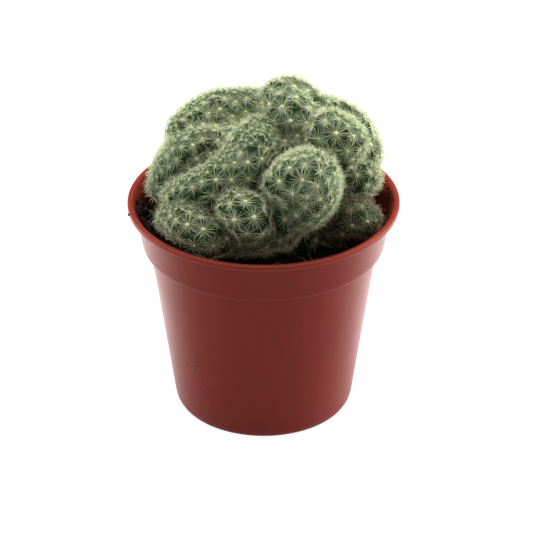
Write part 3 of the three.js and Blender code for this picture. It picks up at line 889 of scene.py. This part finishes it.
# How far the skin is from the growing edge. On a ridge the edge is on the crest, and what
# lies far under the crest has none. Round a rim the edge fades out on the side away from
# the rim's middle.
ridge_end = 0.35
under_ridge = 20.0
rim_end = 0.25
rim_fade = 2.5
crest_lift = np.array([0, 0, 0.5])
crest_gap = np.full(len(places), far_off)
nearest = np.full(len(places), far_off)
nearest_fold = np.zeros(len(places), int)
for k, (name, frames) in enumerate(all_frames.items()):
    distance, offset, radius, along = fold_distance(places, frames)
    length = np.linalg.norm(offset, axis=1) + 1e-9
    closer = distance < nearest
    nearest = np.where(closer, distance, nearest)
    nearest_fold = np.where(closer, k, nearest_fold)
    if name in side_facing:
        side, rim_middle = (unit(np.array(way)) for way in side_facing[name])
        lateral = np.abs(offset @ side) / length
        gap = radius * np.arcsin(np.clip(lateral, 0, 1)) * widening.get(name, 1)
        gap += radius * np.clip(-rim_end - offset @ rim_middle / length, 0, 1) * rim_fade
    else:
        upward = np.mean([crest for _, _, crest, _, _ in frames], axis=0) + crest_lift
        facing = unit(np.array(crest_facing.get(name, upward)))
        sideways = np.cross(along, facing)
        sideways /= np.linalg.norm(sideways, axis=1)[:, None] + 1e-9
        lateral = np.abs(np.sum(offset * sideways, axis=1)) / length
        gap = radius * np.arcsin(np.clip(lateral, 0, 1)) * widening.get(name, 1)
        gap = np.where(offset @ facing < -ridge_end * radius, under_ridge, gap)
    crest_gap = np.where(closer, gap, crest_gap)
crest_gap = smoothed(crest_gap, edges, 6, 0.5)

# How open the skin is: 1 where it faces free air, 0 down in a crease between two folds
look_out = 1.8
outside = np.full(len(places), far_off)
for frames in all_frames.values():
    outside = np.minimum(outside, fold_distance(places + look_out * normals, frames)[0])
openness = smoothed(np.clip(outside / look_out, 0, 1), edges, 2, 0.5)

# The creases are cut a little deeper than the grown-together skin leaves them
crease_depth = 1.3
places = places - normals * (crease_depth * (1 - openness))[:, None]
set_places(skin.data, places)
places, normals, edges = mesh_arrays(skin.data)

# Where the areoles stand: close together on the growing edge, wider apart down the flanks
edge_spacing = 1.5
flank_spacing = 4.5
edge_width = 0.9
edge_fade = 7.0
spacing_curve = 0.8
ease = np.clip((crest_gap - edge_width) / edge_fade, 0, 1)
spacing = edge_spacing + (flank_spacing - edge_spacing) * ease ** spacing_curve

# There are none down in the creases, on the stem, in the soil, against the wall of the pot
# or on two bare spots of the front lobes
lowest_areole = 63.0
least_openness = 0.68
off_folds = 1.5
wall_reach = 38.5
above_lip = 73
bare_radius = 2.3
reach = np.hypot(places[:, 0], places[:, 1])
usable = (places[:, 2] > lowest_areole) & (openness > least_openness) & (nearest < off_folds)
usable &= (reach < wall_reach) | (places[:, 2] > above_lip)
for spot in ((-2.5, -29.5, 79.5), (33.5, -15.5, 75)):
    usable &= np.linalg.norm(places - np.array(spot), axis=1) > bare_radius

# They are drawn at random, each leaving a gap to those drawn before, and then spread out evenly
least_gap = 0.44
spread_rounds = 14
spread_gap = 0.56
spread_pace = 0.22
candidates = np.flatnonzero(usable)
draw = np.random.default_rng(3)
candidates = candidates[np.argsort(draw.random(len(candidates)))]
open_spots = np.ones(len(candidates), bool)
spots = places[candidates]
spot_spacing = spacing[candidates]
areoles = []
for k in range(len(candidates)):
    if not open_spots[k]:
        continue
    areoles.append(candidates[k])
    gap = np.linalg.norm(spots - spots[k], axis=1)
    open_spots &= gap > least_gap * (spot_spacing + spot_spacing[k])
areole_places = places[areoles]
areole_spacing = spacing[areoles]


def look_up(points):
    """A tree that finds the nearest of the points."""
    tree = KDTree(len(points))
    for k, point in enumerate(points):
        tree.insert(Vector(point), k)
    tree.balance()
    return tree


skin_tree = look_up(places)
for _ in range(spread_rounds):
    offsets = areole_places[:, None, :] - areole_places[None, :, :]
    gaps = np.linalg.norm(offsets, axis=2) + np.eye(len(areole_places)) * 1e3
    wanted = spread_gap * (areole_spacing[:, None] + areole_spacing[None, :])
    push = np.clip(wanted - gaps, 0, None) * spread_pace
    shift = np.sum(offsets / gaps[:, :, None] * push[:, :, None], axis=1)
    moved = areole_places + shift
    for k, target in enumerate(moved):
        _, index, _ = skin_tree.find(Vector(target))
        if usable[index]:
            lift = (target - places[index]) @ normals[index]
            areole_places[k] = target - lift * normals[index]
            areoles[k] = index
    areole_spacing = spacing[areoles]
areole_normals = smoothed(normals, edges, 4, 0.5)[areoles]
areole_normals /= np.linalg.norm(areole_normals, axis=1)[:, None]

# Each areole's tubercle is raised from the skin as a rounded cone
tubercle_rise = 0.24 * areole_spacing
tubercle_radius = 0.60 * areole_spacing
tubercle_roundness = 1.3
lowest_tubercle = 60
neighbours = 3
areole_tree = look_up(areole_places)
raise_by = np.zeros(len(places))
near_tip = np.zeros(len(places))
for k in np.flatnonzero(places[:, 2] > lowest_tubercle):
    for _, index, gap in areole_tree.find_n(Vector(places[k]), neighbours):
        across = gap / tubercle_radius[index]
        if across < 1:
            raise_by[k] = max(raise_by[k], tubercle_rise[index] * (1 - across ** 2) ** tubercle_roundness)
            near_tip[k] = max(near_tip[k], 1 - across)
set_places(skin.data, places + normals * raise_by[:, None])
tip_places = areole_places + areole_normals * tubercle_rise[:, None]
skin.data.attributes.new("edge", "FLOAT", "POINT").data.foreach_set("value", 1 - ease)
skin.data.attributes.new("tip", "FLOAT", "POINT").data.foreach_set("value", near_tip)
skin.data.shade_smooth()

skin_green, tree, shader, place = new_material("cactus skin", 0.5)
mottle = noise(tree, place, 260.0, 4.0)
deep = mixed(tree, mottle, (0.008, 0.030, 0.007, 1), (0.017, 0.056, 0.012, 1))
young = mixed(tree, read(tree, "edge"), deep, (0.024, 0.055, 0.012, 1))
pale = add_node(tree, "ShaderNodeMapRange", {"Value": read(tree, "tip"), "From Min": 0.5, "To Max": 0.6})
tipped = mixed(tree, pale.outputs["Result"], young, (0.11, 0.18, 0.055, 1))
tree.links.new(tipped, shader.inputs["Base Color"])
pores = add_node(tree, "ShaderNodeTexVoronoi", {"Vector": place, "Scale": 3500.0})
grained = add_node(tree, "ShaderNodeBump", {"Strength": 0.25, "Distance": 0.1 * mm,
                                            "Height": pores.outputs["Distance"]})
tree.links.new(grained.outputs["Normal"], shader.inputs["Normal"])
shader.inputs["Specular IOR Level"].default_value = 0.18
skin.data.materials.append(skin_green)
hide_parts("cactus")
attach(skin, "root")

# The areoles: little cushions of cream wool, felted from short hairs, which grow
# on the tips of the tubercles and hold the roots of the spines.


def aged_and_shaded_colour(tree, mottle, dark, light, old_and_shaded):
    """A mottled colour that turns to an old brown one with a point's age and its painted shade."""
    return mixed(tree, read(tree, "age"), mixed(tree, mottle, dark, light), old_and_shaded)


wool_cream, tree, shader, place = new_material("areole wool", 0.9)
fluff = noise(tree, place, 2500.0, 2.0)
cream = aged_and_shaded_colour(tree, fluff, (0.66, 0.68, 0.36, 1), (0.86, 0.85, 0.52, 1), (0.22, 0.15, 0.09, 1))
tree.links.new(cream, shader.inputs["Base Color"])

# The wool and spines of the oldest lobe, low on the right, have turned brown. On the lower lobes
# they are also painted darker and browner than on top, a painted shade for the light that reaches them less
low_shade_most = 0.42
low_shade_below = 84
low_shade_fade = 12
age_and_shade_least = 0.4
old_lobe = nearest_fold[areoles] == list(folds).index("right_foot")
# Painted shade: below this height the wool and spines are mixed towards the old brown
painted_low_shade = low_shade_most * np.clip((low_shade_below - tip_places[:, 2]) / low_shade_fade, 0, 1)
areole_age_and_shade = np.where(old_lobe, 1.0, painted_low_shade)
areole_age_and_shade *= age_and_shade_least + (1 - age_and_shade_least) * draw.random(len(tip_places))
wool_size = 0.1 + 0.31 * areole_spacing
wool_lift = 0.15 * wool_size
wool_places = (tip_places + wool_lift[:, None] * areole_normals) * mm
first_tuft = 20
tufts = [lump_mesh("wool", first_tuft + seed, 0.35) for seed in range(3)]
wool = set_on_points("areole_wool", wool_places, areole_normals, wool_size, tufts, wool_cream, areole_age_and_shade)
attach(wool, "root")

# The spines: fine, stiff, cream-white needles that grow out of each areole in a flat
# star, short and on end along the growing edge, longer and flatter down the flanks.


def spine_mesh(name, bend, thickness, steps, taper=0.72):
    """A thin three-sided spine that stands on Z, 1 long, and bends a little to one side."""
    points = []
    faces = []
    for step in range(steps + 1):
        share = step / steps
        girth = thickness * (1 - taper * share ** 1.5)
        for side in range(3):
            angle = 2 * math.pi * side / 3
            points.append((bend * share ** 2 + girth * math.cos(angle), girth * math.sin(angle), share))
    for ring in range(0, 3 * steps, 3):
        for side in range(3):
            after = (side + 1) % 3
            faces.append((ring + side, ring + after, ring + 3 + after, ring + 3 + side))
    faces.append((2, 1, 0))
    faces.append((3 * steps, 3 * steps + 1, 3 * steps + 2))
    mesh = bpy.data.meshes.new(name)
    mesh.from_pydata(points, [], faces)
    turn_outward(mesh)
    return mesh


def stars(centres, ups, lengths, count, lift, lift_spread):
    """Roots, directions and lengths of the spines that stand in a flat star round each centre."""
    shape = (len(centres), count)
    turn = 2 * math.pi * (np.arange(count) + 0.5 * draw.random(shape)) / count
    rise = np.radians(lift + lift_spread * (draw.random(shape) - 0.5))
    any_way = (0.31, 0.53, 0.79)
    first_side = np.cross(ups, any_way)
    first_side /= np.linalg.norm(first_side, axis=1)[:, None]
    second_side = np.cross(ups, first_side)
    outward = np.cos(turn)[..., None] * first_side[:, None] + np.sin(turn)[..., None] * second_side[:, None]
    ways = np.cos(rise)[..., None] * outward + np.sin(rise)[..., None] * ups[:, None]
    long = lengths[:, None] * (0.8 + 0.35 * draw.random(shape))
    roots = centres[:, None] + 0.05 * long[..., None] * ways
    return roots.reshape(-1, 3), ways.reshape(-1, 3), long.ravel()


spine_cream, tree, shader, place = new_material("spines", 0.45)
tone = noise(tree, place, 180.0, 2.0)
cream = aged_and_shaded_colour(tree, tone, (0.69, 0.78, 0.45, 1), (0.87, 0.94, 0.66, 1), (0.27, 0.16, 0.10, 1))
tree.links.new(cream, shader.inputs["Base Color"])

# The spines grow longer where the areoles stand wider apart, and stay shorter in the creases
spine_length = (0.9 + 0.72 * areole_spacing) * (0.5 + 0.5 * openness[areoles])
spine_bends = (0.05, 0.12, 0.2)
edge_below = 2.3
flank_from = 3.4
on_edge = areole_spacing < edge_below
on_flank = areole_spacing >= flank_from
star_kinds = {
    # spines in a star, their lift and its spread in degrees, their thickness for their length, bends
    "edge_spines": (on_edge, 14, 36, 50, 0.031, 1),
    "shoulder_spines": (~on_edge & ~on_flank, 24, 20, 24, 0.025, 2),
    "flank_spines": (on_flank, 32, 13, 14, 0.020, 2),
}
for name, (chosen, spine_count, lift, lift_spread, thickness, steps) in star_kinds.items():
    roots, ways, lengths = stars(tip_places[chosen], areole_normals[chosen], spine_length[chosen],
                                 spine_count, lift, lift_spread)
    bent = [spine_mesh("spine", bend, thickness, steps) for bend in spine_bends]
    spines = set_on_points(name, roots * mm, ways, lengths, bent, spine_cream,
                           np.repeat(areole_age_and_shade[chosen], spine_count))
    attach(spines, "root")
